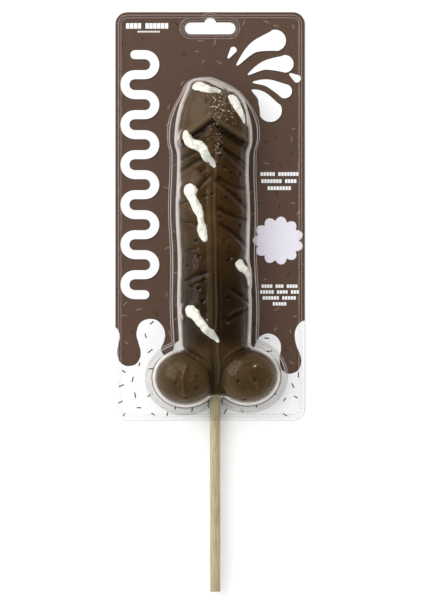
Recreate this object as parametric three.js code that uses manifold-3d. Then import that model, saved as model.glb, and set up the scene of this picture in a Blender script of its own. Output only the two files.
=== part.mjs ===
// A chocolate-flavoured novelty lollipop, sealed under a clear formed film on a printed card.
// It lies on the card's back.
// Millimetres. +X is across the card, +Y runs towards the hang slot, and +Z is up, away from the card.
// The origin is at the middle of the whole length, on the card's back face.

import * as THREE from "three";
import { mergeVertices } from "three/addons/utils/BufferGeometryUtils.js";
import Module from "manifold-3d";

const wasm = await Module();
wasm.setup();

// Driving dimensions

const card = { width: 118, height: 254, thickness: 0.6, cornerRadius: 7.5 };
const slot = { length: 31.5, height: 7.3, fromTop: 10.1, notchRadius: 3.7, notchRise: 2.9 };
const stick = { radius: 3.25, overhang: 106.4, axisHeight: 6.6, embedded: 45, chamfer: 0.4 };
const candy = { axisX: 3.2, tipFromCardTop: 43.2, back: 0.9, length: 194.5 };
const film = { gapToCard: 0.1, thickness: 0.5, gapToCandy: 1.9, reliefShare: 0.55, gapToStick: 0.6 };

const head = {
  length: 38, halfWidth: 23, leftBlunt: 0.37, rightBlunt: 0.66, domeLength: 24, height: 26.5, roundness: 2.2,
};
const shaft = {
  halfWidth: 21.45, height: 25.5, neckLength: 9, wave: 0.45, waveAt: 138, wavePitch: 56, squareness: 3,
};
const root = { start: 163, end: 178, halfWidth: 6.5, height: 16, shift: 1.4 };
const lean = { shift: -1.5, at: 70, spread: 60, tipShift: -3.8, tipSpread: 6 };
const lobe = { halfWidth: 19.3, halfLength: 17.2, height: 23, squareness: 2.8 };
const leftLobe = { ...lobe, across: -18.5, at: 184.4 };
const rightLobe = { ...lobe, across: 20, at: 183.2 };
const saddle = { across: 1.4, at: 171, halfWidth: 18, halfLength: 13, height: 20.5, squareness: 3 };

const crown = { centre: -1.7, apex: 24, slope: 0.84, bow: 0.0069, depth: 3, lip: 1.1, width: 2.3 };
const folds = { pitch: 4.2, depth: 0.75, count: 3, lowerPitch: 15.5, lowerDepth: 0.9, lowerEnd: 150 };
const seam = { halfWidth: 2.6, height: 0.8, valleyAt: 4.4, valley: 0.5 };
const crease = { centre: 1.4, at: 4.4, start: 170, depth: 1.2, width: 1.9 };

const plateau = { width: 4.4, height: 1.7 };
const bead = { inset: 2, width: 1.7, height: 0.8, slotGap: 1.2 };
const socketGap = 0.35;

// Each drip of icing is a route of [across, along, radius], measured from the candy's axis and tip.
const drips = [
  [[-11.0, 3.4, 2.6], [-7.2, 4.2, 2.7], [-2.6, 5.0, 1.9], [1.6, 5.6, 1.0]],
  [[13.2, 12.9, 3.1], [15.6, 17.0, 2.9], [18.2, 21.6, 2.1], [19.6, 26.4, 1.5], [20.4, 30.4, 0.8]],
  [
    [-18.2, 31.4, 1.5], [-18.4, 35.4, 2.4], [-13.6, 38.6, 2.5],
    [-8.2, 41.2, 2.3], [-5.6, 45.8, 2.6], [-1.2, 50.8, 1.2],
  ],
  [
    [-15.9, 67.3, 4.1], [-13.2, 72.8, 2.7], [-10.1, 79.4, 3.1],
    [-8.4, 87.4, 2.2], [-7.4, 93.2, 2.7], [-6.2, 97.2, 1.8],
  ],
  [[15.4, 113.4, 3.2], [18.2, 117.2, 2.9], [20.8, 120.6, 2.0], [21.8, 126.4, 0.9]],
  [[-15.9, 142.4, 3.7], [-12.2, 146.4, 2.6], [-7.2, 152.4, 2.5], [-2.4, 157.4, 2.2], [0.4, 161.4, 1.2]],
];
const drip = { lift: 0.9, swell: 0.15, sunk: 3, reliefShare: 0.4 };

// Derived places

const totalLength = card.height + stick.overhang;
const cardTop = totalLength / 2;
const cardBottom = cardTop - card.height;
const tipY = cardTop - candy.tipFromCardTop;
const flangeBottom = card.thickness + film.gapToCard;
const flangeTop = flangeBottom + film.thickness;

// Helpers that turn three.js geometry into manifold solids and back

function solidFrom(geometry) {
  const bare = geometry.index ? geometry.toNonIndexed() : geometry.clone();
  for (const name of Object.keys(bare.attributes)) {
    if (name !== "position") bare.deleteAttribute(name);
  }
  const merged = mergeVertices(bare, 1e-4);
  return new wasm.Manifold(
    new wasm.Mesh({
      numProp: 3,
      vertProperties: new Float32Array(merged.attributes.position.array),
      triVerts: new Uint32Array(merged.index.array),
    }),
  );
}

function geometryFrom(solid) {
  const mesh = solid.getMesh();
  const geometry = new THREE.BufferGeometry();
  geometry.setAttribute("position", new THREE.BufferAttribute(new Float32Array(mesh.vertProperties), 3));
  geometry.setIndex(new THREE.BufferAttribute(new Uint32Array(mesh.triVerts), 1));
  geometry.computeVertexNormals();
  return geometry;
}

const fuse = (solids) => solids.reduce((whole, next) => whole.add(next));

function smoothStep(from, to, value) {
  return THREE.MathUtils.smoothstep(value, from, to);
}

const bump = (offset, width) => Math.exp(-((offset / width) ** 2));

// The candy's outline and top surface, by distance along it from the tip

// How far the head's left and right sides have widened; its left side is the blunter one.
function headReach(along) {
  const reach = THREE.MathUtils.clamp(along / head.length, 0, 1);
  const fullness = 1 - (1 - reach) ** head.roundness;
  return [head.halfWidth * fullness ** head.leftBlunt, head.halfWidth * fullness ** head.rightBlunt];
}

function centreOffset(along) {
  const [left, right] = headReach(along);
  const tipLean = lean.tipShift * bump(along, lean.tipSpread);
  const rootShift = root.shift * smoothStep(root.start, root.end, along);
  return (right - left) / 2 + lean.shift * bump(along - lean.at, lean.spread) + tipLean + rootShift;
}

function halfWidth(along) {
  const [left, right] = headReach(along);
  const headWidth = (left + right) / 2;
  const wave = shaft.wave * Math.cos((2 * Math.PI * (along - shaft.waveAt)) / shaft.wavePitch);
  const shaftWidth = shaft.halfWidth + wave;
  const neck = smoothStep(head.length, head.length + shaft.neckLength, along);
  const rooted = smoothStep(root.start, root.end, along);
  return THREE.MathUtils.lerp(THREE.MathUtils.lerp(headWidth, shaftWidth, neck), root.halfWidth, rooted);
}

function ridgeHeight(along) {
  const reach = THREE.MathUtils.clamp(along / head.domeLength, 0, 1);
  const headHeight = head.height * Math.sqrt(1 - (1 - reach) ** head.roundness);
  const neck = smoothStep(head.domeLength, head.length, along);
  const rooted = smoothStep(root.start - 6, candy.length, along);
  return THREE.MathUtils.lerp(THREE.MathUtils.lerp(headHeight, shaft.height, neck), root.height, rooted);
}

// How far a point lies past the crown's V-shaped groove, which points at the tip.
function pastCrown(across, along) {
  const sideways = across - crown.centre;
  return along - crown.apex - crown.slope * Math.abs(sideways) + crown.bow * sideways ** 2;
}

// The moulded relief: the crown's lip and groove, the V folds, the long seam and the lobes' creases.
function relief(across, along) {
  const past = pastCrown(across, along);
  const onShaft = smoothStep(-1, 3, past);
  let height = crown.lip * bump(past + 2.4, 2.6) - crown.depth * bump(past, crown.width);
  for (let i = 1; i <= folds.count; i += 1) {
    height -= (folds.depth / Math.sqrt(i)) * bump(past - i * folds.pitch, 1.1);
  }
  const lower = smoothStep(12, 24, past) * (1 - smoothStep(folds.lowerEnd - 40, folds.lowerEnd, along));
  height -= folds.lowerDepth * lower * Math.max(0, Math.cos((2 * Math.PI * past) / folds.lowerPitch)) ** 5;
  const seamOffset = Math.abs(across - centreOffset(along) - 0.8);
  height += onShaft * seam.height * bump(seamOffset, seam.halfWidth);
  height -= onShaft * seam.valley * bump(seamOffset - seam.valleyAt, 1);
  const inCrease = smoothStep(crease.start, crease.start + 12, along);
  height -= crease.depth * inCrease * bump(Math.abs(across - crease.centre) - crease.at, crease.width);
  return height;
}

// The share of the full height that an arched section has at a share of its half width.
const archRise = (share, squareness) => Math.max(0, 1 - Math.abs(share) ** squareness) ** (1 / squareness);

// A point on the candy's top skin.
function skinPoint(across, along, reliefShare) {
  const offset = centreOffset(along);
  const width = halfWidth(along);
  const share = THREE.MathUtils.clamp((across - offset) / width, -0.99, 0.99);
  const crest = ridgeHeight(along) + reliefShare * relief(across, along);
  const height = crest * archRise(share, shaft.squareness);
  return new THREE.Vector3(candy.axisX + offset + share * width, tipY - along, candy.back + height);
}

// Joins rings of points into a closed body with flat ends.
function loft(rings) {
  const count = rings[0].length;
  const positions = rings.flat().flatMap((point) => [point.x, point.y, point.z]);
  const faces = [];
  for (let row = 0; row < rings.length - 1; row += 1) {
    for (let i = 0; i < count; i += 1) {
      const a = row * count + i;
      const b = row * count + ((i + 1) % count);
      faces.push(a, a + count, b, b, a + count, b + count);
    }
  }
  const last = (rings.length - 1) * count;
  for (let i = 1; i < count - 1; i += 1) {
    faces.push(0, i, i + 1);
    faces.push(last, last + i + 1, last + i);
  }
  const geometry = new THREE.BufferGeometry();
  geometry.setAttribute("position", new THREE.BufferAttribute(new Float32Array(positions), 3));
  geometry.setIndex(faces);
  const solid = solidFrom(geometry);
  return solid.volume() < 0 ? solidFrom(flipped(geometry)) : solid;
}

function flipped(geometry) {
  const index = Array.from(geometry.index.array);
  for (let i = 0; i < index.length; i += 3) {
    [index[i + 1], index[i + 2]] = [index[i + 2], index[i + 1]];
  }
  return geometry.clone().setIndex(index);
}

// Rows are close together at the round tip and at the crown.
function rowPlaces(finest, coarsest) {
  const places = [];
  for (let i = 0; i < 9; i += 1) places.push(0.05 + 10 * (i / 8) ** 2);
  while (places.at(-1) < candy.length - finest) {
    const at = places.at(-1);
    const nearCrown = bump(at - crown.apex - 4, 15);
    places.push(Math.min(candy.length, at + THREE.MathUtils.lerp(coarsest, finest, nearCrown)));
  }
  return places;
}

function shaftSolid({ grow, reliefShare, back, rows, columns }) {
  const rings = rows.map((row) => {
    const slant = crown.slope * smoothStep(2, 22, row) * (1 - smoothStep(120, 160, row));
    const ring = [];
    for (let column = 0; column <= columns; column += 1) {
      const share = Math.cos((Math.PI * column) / columns);
      const rise = archRise(share, shaft.squareness);
      const along = Math.min(candy.length, row + slant * Math.abs(share) * shaft.halfWidth);
      const across = centreOffset(along) + share * (halfWidth(along) + grow);
      const height = (ridgeHeight(along) + grow + reliefShare * relief(across, along)) * rise;
      const stretched = along * (1 + (2 * grow) / candy.length) - grow;
      const isFoot = column === 0 || column === columns;
      const z = isFoot ? back : candy.back + height;
      ring.push(new THREE.Vector3(candy.axisX + across, tipY - stretched, z));
    }
    return ring;
  });
  return loft(rings);
}

// The round domes at the root: two lobes side by side, and a saddle that fills the dip above them.
const domes = [leftLobe, rightLobe, saddle];

function domeSolid({ dome, grow, reliefShare, back, rings, spokes }) {
  const loops = [];
  for (let ring = 0; ring <= rings; ring += 1) {
    const share = Math.max(Math.cos((0.5 * Math.PI * ring) / rings), 0.01);
    const rise = archRise(share, dome.squareness);
    const loop = [];
    for (let spoke = 0; spoke < spokes; spoke += 1) {
      const turn = (2 * Math.PI * spoke) / spokes;
      const across = dome.across + share * (dome.halfWidth + grow) * Math.cos(turn);
      const along = dome.at + share * (dome.halfLength + grow) * Math.sin(turn);
      const height = (dome.height + grow + reliefShare * relief(across, along)) * rise;
      const z = ring === 0 ? back : candy.back + height;
      loop.push(new THREE.Vector3(candy.axisX + across, tipY - along, z));
    }
    loops.push(loop);
  }
  return loft(loops);
}

// An icing drip: a low tube with round ends, laid on the skin and sunk into it.
function dripSolid({ points, steps, sides }) {
  const places = points.map(([across, along]) => new THREE.Vector3(across, along, 0));
  const route = new THREE.CatmullRomCurve3(places);
  const radii = new THREE.CatmullRomCurve3(points.map(([, , radius], i) => new THREE.Vector3(i, radius, 0)));
  const section = (share, size, shift) => {
    const place = route.getPoint(share);
    const heading = route.getTangent(share);
    const radius = radii.getPoint(share).y;
    const loop = [];
    for (let i = 0; i < sides; i += 1) {
      const angle = (2 * Math.PI * i) / sides;
      const sideways = size * radius * Math.cos(angle);
      const across = place.x - sideways * heading.y + shift * radius * heading.x;
      const along = place.y + sideways * heading.x + shift * radius * heading.y;
      const reach = Math.sin(angle) > 0 ? drip.lift + drip.swell * radius : drip.sunk;
      const lift = new THREE.Vector3(0, 0, size * reach * Math.sin(angle));
      loop.push(skinPoint(across, along, drip.reliefShare).add(lift));
    }
    return loop;
  };
  const rings = [section(0, 0.3, -0.95), section(0, 0.75, -0.66)];
  for (let step = 0; step <= steps; step += 1) rings.push(section(step / steps, 1, 0));
  rings.push(section(1, 0.75, 0.66), section(1, 0.3, 0.95));
  return loft(rings);
}

// Flat outlines

function roundedRectangle(width, height, radius) {
  const shape = new THREE.Shape();
  const x = width / 2 - radius;
  const y = height / 2 - radius;
  shape.absarc(x, y, radius, 0, Math.PI / 2);
  shape.absarc(-x, y, radius, Math.PI / 2, Math.PI);
  shape.absarc(-x, -y, radius, Math.PI, 1.5 * Math.PI);
  shape.absarc(x, -y, radius, 1.5 * Math.PI, 2 * Math.PI);
  return shape;
}

// The hang slot: a long slot with a round notch in the middle of its upper edge.
function slotOutline(grow) {
  const outline = new THREE.Shape();
  const end = slot.height / 2 + grow;
  const x = slot.length / 2 - slot.height / 2;
  const notch = slot.notchRadius + grow;
  const notchStart = Math.asin((end - slot.notchRise) / notch);
  outline.absarc(x, 0, end, -Math.PI / 2, Math.PI / 2);
  outline.absarc(0, slot.notchRise, notch, notchStart, Math.PI - notchStart);
  outline.absarc(-x, 0, end, Math.PI / 2, 1.5 * Math.PI);
  return outline;
}

function slab(shape, bottom, top, y = 0, curveSegments = 6) {
  const depth = top - bottom;
  const geometry = new THREE.ExtrudeGeometry(shape, { depth, bevelEnabled: false, curveSegments });
  return solidFrom(geometry.translate(0, y, bottom));
}

const cardCentreY = (cardTop + cardBottom) / 2;
const slotY = cardTop - slot.fromTop;

function cardOutline(inset) {
  return roundedRectangle(card.width - 2 * inset, card.height - 2 * inset, card.cornerRadius - inset);
}

// The candy's outline seen from above, grown sideways: the shaft and the domes.
function footprint(grow, bottom, top) {
  const rows = [];
  for (let along = 0; along <= candy.length; along += along < 8 ? 1.5 : 7) rows.push(along);
  const place = (along, side) => {
    const stretched = along * (1 + (2 * grow) / candy.length) - grow;
    const roundTip = Math.sqrt(Math.min(1, (along + 0.3) / 6));
    const sideways = side * (halfWidth(along) + grow * roundTip);
    return new THREE.Vector2(candy.axisX + centreOffset(along) + sideways, tipY - stretched);
  };
  const left = rows.map((row) => place(row, -1));
  const right = rows.reverse().map((row) => place(row, 1));
  const shaftShape = new THREE.Shape([...left, ...right]);
  const lobes = domes.map((dome) => {
    const shape = new THREE.Shape();
    const [x, y] = [candy.axisX + dome.across, tipY - dome.at];
    shape.absellipse(x, y, dome.halfWidth + grow, dome.halfLength + grow, 0, 2 * Math.PI);
    return slab(shape, bottom, top, 0, 14);
  });
  return fuse([slab(shaftShape, bottom, top), ...lobes]);
}

// The arch-shaped channel that covers the stick, from inside the lobes to the card's lower edge.
function stickChannel(grow, bottom, reach) {
  const radius = stick.radius + grow;
  const shape = new THREE.Shape();
  shape.moveTo(-radius, bottom);
  shape.lineTo(-radius, stick.axisHeight);
  shape.absarc(0, stick.axisHeight, radius, Math.PI, 0, true);
  shape.lineTo(radius, bottom);
  const start = cardBottom - reach;
  const length = tipY - rightLobe.at - start;
  const geometry = new THREE.ExtrudeGeometry(shape, { depth: length, bevelEnabled: false, curveSegments: 8 });
  geometry.rotateX(Math.PI / 2).translate(candy.axisX, start + length, 0);
  return solidFrom(geometry);
}

// A raised ring between two outlines, for the film's stiffening beads.
function ring(outer, inner, bottom, top, y) {
  return slab(outer, bottom, top, y).subtract(slab(inner, bottom - 1, top + 1, y));
}

// Sub-parts

function cardSolid() {
  const shape = cardOutline(0);
  const hole = slab(slotOutline(0), -1, card.thickness + 1, slotY);
  return slab(shape, 0, card.thickness, cardCentreY).subtract(hole);
}

function stickSolid() {
  const length = stick.overhang + stick.embedded + (tipY - candy.length - cardBottom);
  const profile = [
    [0, 0],
    [stick.radius - stick.chamfer, 0],
    [stick.radius, stick.chamfer],
    [stick.radius, length - stick.chamfer],
    [stick.radius - stick.chamfer, length],
    [0, length],
  ].map(([x, y]) => new THREE.Vector2(x, y));
  return new THREE.LatheGeometry(profile, 24);
}

function candySolid() {
  const rows = rowPlaces(1.4, 4);
  const body = fuse([
    shaftSolid({ grow: 0, reliefShare: 1, back: candy.back, rows, columns: 22 }),
    ...domes.map((dome) =>
      domeSolid({ dome, grow: 0, reliefShare: 1, back: candy.back, rings: 8, spokes: 30 }),
    ),
    ...drips.map((points) => dripSolid({ points, steps: 2 * points.length, sides: 8 })),
  ]);
  const bore = new THREE.CylinderGeometry(stick.radius + socketGap, stick.radius + socketGap, 100, 20);
  bore.translate(candy.axisX, tipY - candy.length + stick.embedded + socketGap - 50, stick.axisHeight);
  return body.subtract(solidFrom(bore));
}

// The candy, grown by a gap: what the film is formed over.
function filmForm(grow, back) {
  const rows = rowPlaces(2.3, 7);
  const { reliefShare } = film;
  return fuse([
    shaftSolid({ grow, reliefShare, back, rows, columns: 14 }),
    ...domes.map((dome) => domeSolid({ dome, grow, reliefShare, back, rings: 6, spokes: 22 })),
    stickChannel(grow - film.gapToCandy + film.gapToStick, back, grow > film.gapToCandy ? 0 : 5),
  ]);
}

function filmSolid() {
  const inner = film.gapToCandy;
  const outer = inner + film.thickness;
  const beadIn = bead.inset + bead.width;
  const hollow = bead.height - film.thickness;
  const skin = fuse([
    slab(cardOutline(0), flangeBottom, flangeTop, cardCentreY),
    ring(cardOutline(bead.inset), cardOutline(beadIn), flangeBottom, flangeTop + bead.height, cardCentreY),
    ring(
      slotOutline(bead.slotGap + bead.width),
      slotOutline(bead.slotGap),
      flangeBottom,
      flangeTop + bead.height,
      slotY,
    ),
    footprint(plateau.width, flangeBottom, flangeTop + plateau.height),
    filmForm(outer, flangeBottom),
  ]);
  const hollows = fuse([
    ring(
      cardOutline(bead.inset + film.thickness),
      cardOutline(beadIn - film.thickness),
      flangeBottom - 1,
      flangeTop + hollow,
      cardCentreY,
    ),
    footprint(plateau.width - film.thickness, flangeBottom - 1, flangeBottom + plateau.height),
    filmForm(inner, flangeBottom - 1),
    slab(slotOutline(0.5), flangeBottom - 1, flangeTop + 3, slotY),
  ]);
  return skin.subtract(hollows);
}

// Materials

const finishes = {
  card: new THREE.MeshStandardMaterial({ color: "#5c4639", roughness: 0.55, metalness: 0 }),
  film: new THREE.MeshStandardMaterial({
    color: "#eef0ee",
    roughness: 0.08,
    metalness: 0,
    transparent: true,
    opacity: 0.25,
  }),
  candy: new THREE.MeshStandardMaterial({ color: "#45331f", roughness: 0.3, metalness: 0 }),
  stick: new THREE.MeshStandardMaterial({ color: "#c4b48c", roughness: 0.7, metalness: 0 }),
};

function part(name, geometry, material) {
  const mesh = new THREE.Mesh(geometry, material);
  mesh.name = name;
  return mesh;
}

const lollipop = new THREE.Group();
lollipop.add(part("card", geometryFrom(cardSolid()), finishes.card));
lollipop.add(part("candy", geometryFrom(candySolid()), finishes.candy));
lollipop.add(part("film", geometryFrom(filmSolid()), finishes.film));

const stickMesh = part("stick", stickSolid(), finishes.stick);
stickMesh.position.set(candy.axisX, cardBottom - stick.overhang, stick.axisHeight);
lollipop.add(stickMesh);

export default lollipop;
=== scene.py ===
import bmesh
import bpy
import math
import numpy as np
import random
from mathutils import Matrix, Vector
from mathutils.noise import noise


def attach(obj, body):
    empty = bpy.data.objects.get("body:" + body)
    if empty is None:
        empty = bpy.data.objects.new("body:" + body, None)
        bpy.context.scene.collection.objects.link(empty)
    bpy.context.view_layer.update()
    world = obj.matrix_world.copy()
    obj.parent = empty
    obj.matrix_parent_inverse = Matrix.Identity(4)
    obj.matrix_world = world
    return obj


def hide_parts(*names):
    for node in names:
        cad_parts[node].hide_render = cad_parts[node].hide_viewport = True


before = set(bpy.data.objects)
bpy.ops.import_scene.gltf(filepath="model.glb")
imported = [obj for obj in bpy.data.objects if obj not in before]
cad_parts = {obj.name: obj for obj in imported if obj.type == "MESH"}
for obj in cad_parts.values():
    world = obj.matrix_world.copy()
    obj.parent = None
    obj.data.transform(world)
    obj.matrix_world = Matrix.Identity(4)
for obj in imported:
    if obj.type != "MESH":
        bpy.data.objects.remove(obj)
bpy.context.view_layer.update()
mm = 0.001

# Places, in millimetres. Across and along are measured from the candy's axis and tip.
pack = {
    "cardWidth": 118.0,
    "cardTop": 180.2,
    "cardBottom": -73.8,
    "cardCorner": 7.5,
    "cardTopFace": 0.6,
    "slotY": 170.1,
    "slotLength": 31.5,
    "slotHeight": 7.3,
    "notchRadius": 3.7,
    "notchRise": 2.9,
    "axisX": 3.2,
    "tipY": 137.0,
    "back": 0.9,
}


# Helpers

def report(stage):
    print("stage:", stage)


def tidySelection():
    if bpy.context.object and bpy.context.object.mode != "OBJECT":
        bpy.ops.object.mode_set(mode="OBJECT")
    bpy.ops.object.select_all(action="DESELECT")


def pick(*objects):
    tidySelection()
    for each in objects:
        each.select_set(True)
    bpy.context.view_layer.objects.active = objects[0]
    return objects[0]


def applyModifier(piece, kind, **settings):
    pick(piece)
    modifier = piece.modifiers.new(kind.lower(), kind)
    for key, value in settings.items():
        setattr(modifier, key, value)
    bpy.ops.object.modifier_apply(modifier=modifier.name)
    return piece


def joinAll(name, pieces):
    pick(*pieces)
    if len(pieces) > 1:
        bpy.ops.object.join()
    joined = bpy.context.object
    joined.name = name
    joined.data.name = name
    bpy.ops.object.transform_apply(location=True, rotation=True, scale=True)
    return joined


def places(piece):
    flat = np.empty(len(piece.data.vertices) * 3)
    piece.data.vertices.foreach_get("co", flat)
    return flat.reshape(-1, 3) / mm


def setPlaces(piece, spots):
    piece.data.vertices.foreach_set("co", (spots * mm).ravel())
    piece.data.update()


def vertexNormals(piece):
    flat = np.empty(len(piece.data.vertices) * 3)
    piece.data.vertex_normals.foreach_get("vector", flat)
    return flat.reshape(-1, 3)


def smoothStep(low, high, value):
    share = np.clip((value - low) / (high - low), 0, 1)
    return share * share * (3 - 2 * share)


def bump(offset, width):
    return np.exp(-((offset / width) ** 2))


def keepValues(piece, name, values):
    # a number kept at each point, which the materials read
    kept = piece.data.attributes.new(name, "FLOAT", "POINT")
    kept.data.foreach_set("value", values.astype(np.float32))


def fromAxisAndTip(spots):
    # how far across the candy's axis and along from its tip each place lies
    return spots[:, 0] - pack["axisX"], pack["tipY"] - spots[:, 1]


def mendNormals(piece, mergeDistance=0.001):
    pick(piece)
    bpy.ops.object.mode_set(mode="EDIT")
    bpy.ops.mesh.select_all(action="SELECT")
    bpy.ops.mesh.remove_doubles(threshold=mergeDistance * mm)
    bpy.ops.mesh.normals_make_consistent(inside=False)
    bpy.ops.object.mode_set(mode="OBJECT")
    return piece


def rodAlongCard(radius, low, high, height, sides):
    # a round rod under the candy's axis, from low to high up the card
    tidySelection()
    bpy.ops.mesh.primitive_cylinder_add(vertices=sides, radius=radius * mm, depth=(high - low) * mm,
                                        location=(pack["axisX"] * mm, (high + low) / 2 * mm, height * mm),
                                        rotation=(math.pi / 2, 0, 0))
    bpy.ops.object.transform_apply(location=True, rotation=True, scale=True)
    return bpy.context.object


def shadeSmooth(piece):
    pick(piece)
    bpy.ops.object.shade_smooth()
    return piece


# Material helpers

def colour(hexValue):
    channels = [int(hexValue[i:i + 2], 16) / 255 for i in (1, 3, 5)]
    linear = [c / 12.92 if c <= 0.04045 else ((c + 0.055) / 1.055) ** 2.4 for c in channels]
    return (*linear, 1.0)


def addNode(tree, kind, inputs=None, links=None, **settings):
    node = tree.nodes.new(kind)
    for key, value in settings.items():
        setattr(node, key, value)
    for key, value in (inputs or {}).items():
        node.inputs[key].default_value = value
    for key, source in (links or {}).items():
        tree.links.new(source, node.inputs[key])
    return node


def newMaterial(name):
    material = bpy.data.materials.new(name)
    material.use_nodes = True
    tree = material.node_tree
    tree.nodes.clear()
    output = addNode(tree, "ShaderNodeOutputMaterial")
    where = addNode(tree, "ShaderNodeTexCoord").outputs["Object"]
    return material, tree, output, where


def noiseNode(tree, where, sizeMm, detail=3.0, roughness=0.5):
    # sizeMm is the rough size of one blotch
    inputs = {"Scale": 1 / (sizeMm * mm), "Detail": detail, "Roughness": roughness}
    return addNode(tree, "ShaderNodeTexNoise", inputs, {"Vector": where}).outputs["Fac"]


def ramp(tree, source, stops):
    node = addNode(tree, "ShaderNodeValToRGB", links={"Fac": source})
    first, last = node.color_ramp.elements
    first.position, first.color = stops[0][0], stops[0][1]
    last.position, last.color = stops[-1][0], stops[-1][1]
    for position, shade in stops[1:-1]:
        node.color_ramp.elements.new(position).color = shade
    return node.outputs["Color"]


def grey(value):
    return (value, value, value, 1.0)


def axes(tree, vector):
    return addNode(tree, "ShaderNodeSeparateXYZ", links={"Vector": vector}).outputs


def attributeNode(tree, name):
    return addNode(tree, "ShaderNodeAttribute", attribute_name=name).outputs["Fac"]


def remap(tree, source, low, high, toLow=0.0, toHigh=1.0, kind="SMOOTHSTEP"):
    inputs = {"From Min": low, "From Max": high, "To Min": toLow, "To Max": toHigh}
    node = addNode(tree, "ShaderNodeMapRange", inputs, {"Value": source}, interpolation_type=kind)
    return node.outputs["Result"]


def fade(tree, place, startMm, endMm, most=1.0):
    # rises smoothly from nothing at the first place to the most at the second
    return remap(tree, place, startMm * mm, endMm * mm, 0.0, most)


def mathNode(tree, operation, links, inputs=None):
    return addNode(tree, "ShaderNodeMath", inputs, links, operation=operation).outputs["Value"]


def multiply(tree, first, second):
    return mathNode(tree, "MULTIPLY", {0: first, 1: second})


def greater(tree, first, second):
    return mathNode(tree, "MAXIMUM", {0: first, 1: second})


def tinted(tree, share, under, over):
    links = {"Factor": share, "A": under}
    return addNode(tree, "ShaderNodeMix", {"B": colour(over)}, links, data_type="RGBA").outputs["Result"]


def bumpNode(tree, height, strength, distanceMm, under=None):
    links = {"Height": height}
    if under is not None:
        links["Normal"] = under
    inputs = {"Strength": strength, "Distance": distanceMm * mm}
    return addNode(tree, "ShaderNodeBump", inputs, links).outputs["Normal"]


def coverWith(tree, output, inputs, links):
    shader = addNode(tree, "ShaderNodeBsdfPrincipled", inputs, links)
    tree.links.new(shader.outputs["BSDF"], output.inputs["Surface"])


# The candy's form

head = {
    "length": 38, "halfWidth": 23, "leftBlunt": 0.37, "rightBlunt": 0.66, "domeLength": 24, "height": 26.5,
    "roundness": 2.2,
}
shaft = {
    "halfWidth": 21.45, "height": 25.5, "neckLength": 9, "wave": 0.45, "waveAt": 138, "wavePitch": 56,
    "squareness": 3.0,
}
root = {"start": 163, "end": 178, "halfWidth": 6.5, "height": 16, "shift": 1.4}
lean = {"shift": -1.5, "at": 70, "spread": 60, "tipShift": -3.8, "tipSpread": 6}
lobe = {"halfWidth": 19.3, "halfLength": 17.2, "height": 23, "squareness": 2.8}
saddle = {"across": 1.4, "at": 171, "halfWidth": 18, "halfLength": 13, "height": 20.5, "squareness": 3.0}
valley = {"across": 1.4, "at": 174, "halfWidth": 14, "halfLength": 17, "height": 18.5, "squareness": 2.4}
domes = [dict(lobe, across=-18.5, at=184.4), dict(lobe, across=20, at=183.2), saddle, valley]
candyLength = 194.5


def headReach(along):
    # how far the head's left and right sides have widened
    fullness = 1 - (1 - np.clip(along / head["length"], 0, 1)) ** head["roundness"]
    return [head["halfWidth"] * fullness ** head[blunt] for blunt in ("leftBlunt", "rightBlunt")]


def centreOffset(along):
    left, right = headReach(along)
    offset = (right - left) / 2 + lean["shift"] * bump(along - lean["at"], lean["spread"])
    offset += lean["tipShift"] * bump(along, lean["tipSpread"])
    return offset + root["shift"] * smoothStep(root["start"], root["end"], along)


def mix(low, high, share):
    return low + (high - low) * share


def halfWidth(along):
    headWidth = sum(headReach(along)) / 2
    wave = shaft["wave"] * np.cos(2 * np.pi * (along - shaft["waveAt"]) / shaft["wavePitch"])
    neck = smoothStep(head["length"], head["length"] + shaft["neckLength"], along)
    rooted = smoothStep(root["start"], root["end"], along)
    return mix(mix(headWidth, shaft["halfWidth"] + wave, neck), root["halfWidth"], rooted)


def ridgeHeight(along):
    reach = np.clip(along / head["domeLength"], 0, 1)
    headHeight = head["height"] * np.sqrt(1 - (1 - reach) ** head["roundness"])
    neck = smoothStep(head["domeLength"], head["length"], along)
    rooted = smoothStep(root["start"] - 6, candyLength, along)
    return mix(mix(headHeight, shaft["height"], neck), root["height"], rooted)


def archRise(share, squareness):
    return np.maximum(0, 1 - np.abs(share) ** squareness) ** (1 / squareness)


def domeHeight(dome, across, along):
    sideways = (across - dome["across"]) / dome["halfWidth"]
    reach = np.hypot(sideways, (along - dome["at"]) / dome["halfLength"])
    return dome["height"] * archRise(np.clip(reach, 0, 1), dome["squareness"])


def skinHeight(across, along):
    # height of the smooth candy over the card's face, shaft and domes together
    share = (across - centreOffset(along)) / np.maximum(halfWidth(along), 0.1)
    top = ridgeHeight(along) * archRise(np.clip(share, -1, 1), shaft["squareness"])
    top = np.where((along < 0) | (along > candyLength), 0, top)
    for dome in domes:
        top = np.maximum(top, domeHeight(dome, across, along))
    return top


def shaftTube(name, grow, raised, base, columns, rows):
    # a grid bent into a closed tube: over the arch, then back under it
    tidySelection()
    bpy.ops.mesh.primitive_grid_add(x_subdivisions=columns, y_subdivisions=rows, size=2)
    piece = bpy.context.object
    piece.name = name
    spots = places(piece) * mm
    turn = (spots[:, 0] + 1) / 2
    along = candyLength * ((spots[:, 1] + 1) / 2) ** 1.6
    over = turn < 0.8
    share = np.where(over, np.cos(np.pi * turn / 0.8), -1 + 2 * (turn - 0.8) / 0.2)
    rise = np.where(over, archRise(share, shaft["squareness"]), 0)
    stretched = along * (1 + 2 * grow / candyLength) - grow
    x = pack["axisX"] + centreOffset(along) + share * (halfWidth(along) + grow)
    y = pack["tipY"] - stretched
    z = np.where(rise > 0.001, pack["back"] + (ridgeHeight(along) + raised) * rise, base)
    setPlaces(piece, np.column_stack([x, y, z]))
    mendNormals(piece)
    bpy.ops.object.mode_set(mode="EDIT")
    bpy.ops.mesh.select_all(action="SELECT")
    bpy.ops.mesh.fill_holes(sides=0)
    bpy.ops.mesh.normals_make_consistent(inside=False)
    bpy.ops.object.mode_set(mode="OBJECT")
    return piece


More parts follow.
